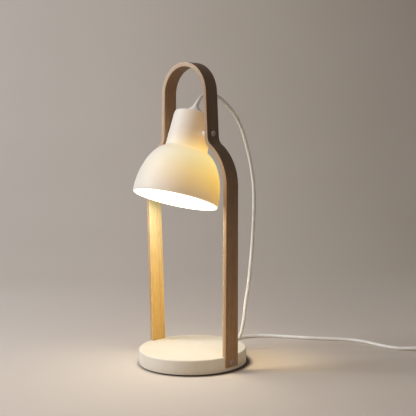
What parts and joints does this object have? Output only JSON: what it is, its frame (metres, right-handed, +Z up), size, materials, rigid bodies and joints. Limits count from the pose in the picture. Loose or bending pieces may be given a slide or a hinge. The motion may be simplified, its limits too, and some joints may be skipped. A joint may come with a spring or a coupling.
{
  "type": "table lamp",
  "caption": "Table lamp with a bent-wood frame and handle loop, a round cream base and a tilting white porcelain shade, with cord, in-line switch and plug",
  "frame": {"origin": "centre of the base's underside, on the table", "axes": "+X from the left leg to the right leg, +Y to the back, +Z up; the shade opens towards -Y"},
  "size_m": [0.483, 0.4619, 0.4835],
  "materials": {
    "cream_paint": "matt cream paint",
    "oak": "satin oil",
    "porcelain": "unglazed, fine",
    "white_plastic": "matt",
    "cord_white": "soft PVC",
    "steel": "zinc plated",
    "satin_nickel": "satin",
    "brass": "plain",
    "cast_iron": "black",
    "foam_rubber": "foam",
    "nylon": "matt",
    "opal_glass": "opal",
    "black_glass": "gloss"
  },
  "bodies": {
    "stand": {"base_disc": "cream_paint", "base_weight": "cast_iron", "base_pad": "foam_rubber", "weight_screw_1": "steel", "weight_screw_2": "steel", "weight_screw_3": "steel", "bentwood_frame": "oak", "foot_insert_left": "brass", "foot_insert_right": "brass", "foot_screw_left": "satin_nickel", "foot_screw_right": "satin_nickel", "power_cord": "cord_white", "switch_lower_housing": "white_plastic", "switch_upper_housing": "white_plastic", "switch_contact_front": "brass", "switch_contact_back": "brass", "switch_pin": "steel", "switch_screw_front": "steel", "switch_screw_back": "steel", "cord_link": "cord_white", "cord_coil": "cord_white", "coil_tie": "foam_rubber", "cord_tail": "cord_white", "plug_strain_relief": "white_plastic", "plug_body": "white_plastic", "plug_pin_left": "satin_nickel", "plug_pin_right": "satin_nickel"},
    "shade": {"shade_shell": "porcelain", "pivot_boss_left": "white_plastic", "pivot_boss_right": "white_plastic", "pivot_washer_left": "nylon", "pivot_washer_right": "nylon", "pivot_screw_left": "satin_nickel", "pivot_screw_right": "satin_nickel", "pivot_bracket": "steel", "pivot_nut_left": "steel", "pivot_nut_right": "steel", "threaded_nipple": "steel", "nipple_lock_nut": "steel", "lampholder_cap": "white_plastic", "lampholder_body": "white_plastic", "lampholder_sleeve": "brass", "lampholder_contact": "brass", "cord_grip": "white_plastic", "cord_lead_in": "cord_white", "bulb_contact": "steel", "bulb_insulator": "black_glass", "bulb_cap": "satin_nickel", "bulb_collar": "white_plastic", "bulb_glass": "opal_glass"},
    "rocker": {"switch_rocker": "white_plastic"}
  },
  "joints": [
    {"name": "shade_tilt", "type": "hinge", "parent": "stand", "child": "shade", "pos_m": [0, 0, 0.3699], "axis": [1, 0, 0], "range_deg": [-30, 60]},
    {"name": "switch_rock", "type": "hinge", "parent": "stand", "child": "rocker", "pos_m": [0.2738, 0.32102, 0.0124], "axis": [-0.5105, 0.8599, 0], "range_deg": [0, 14]}
  ]
}
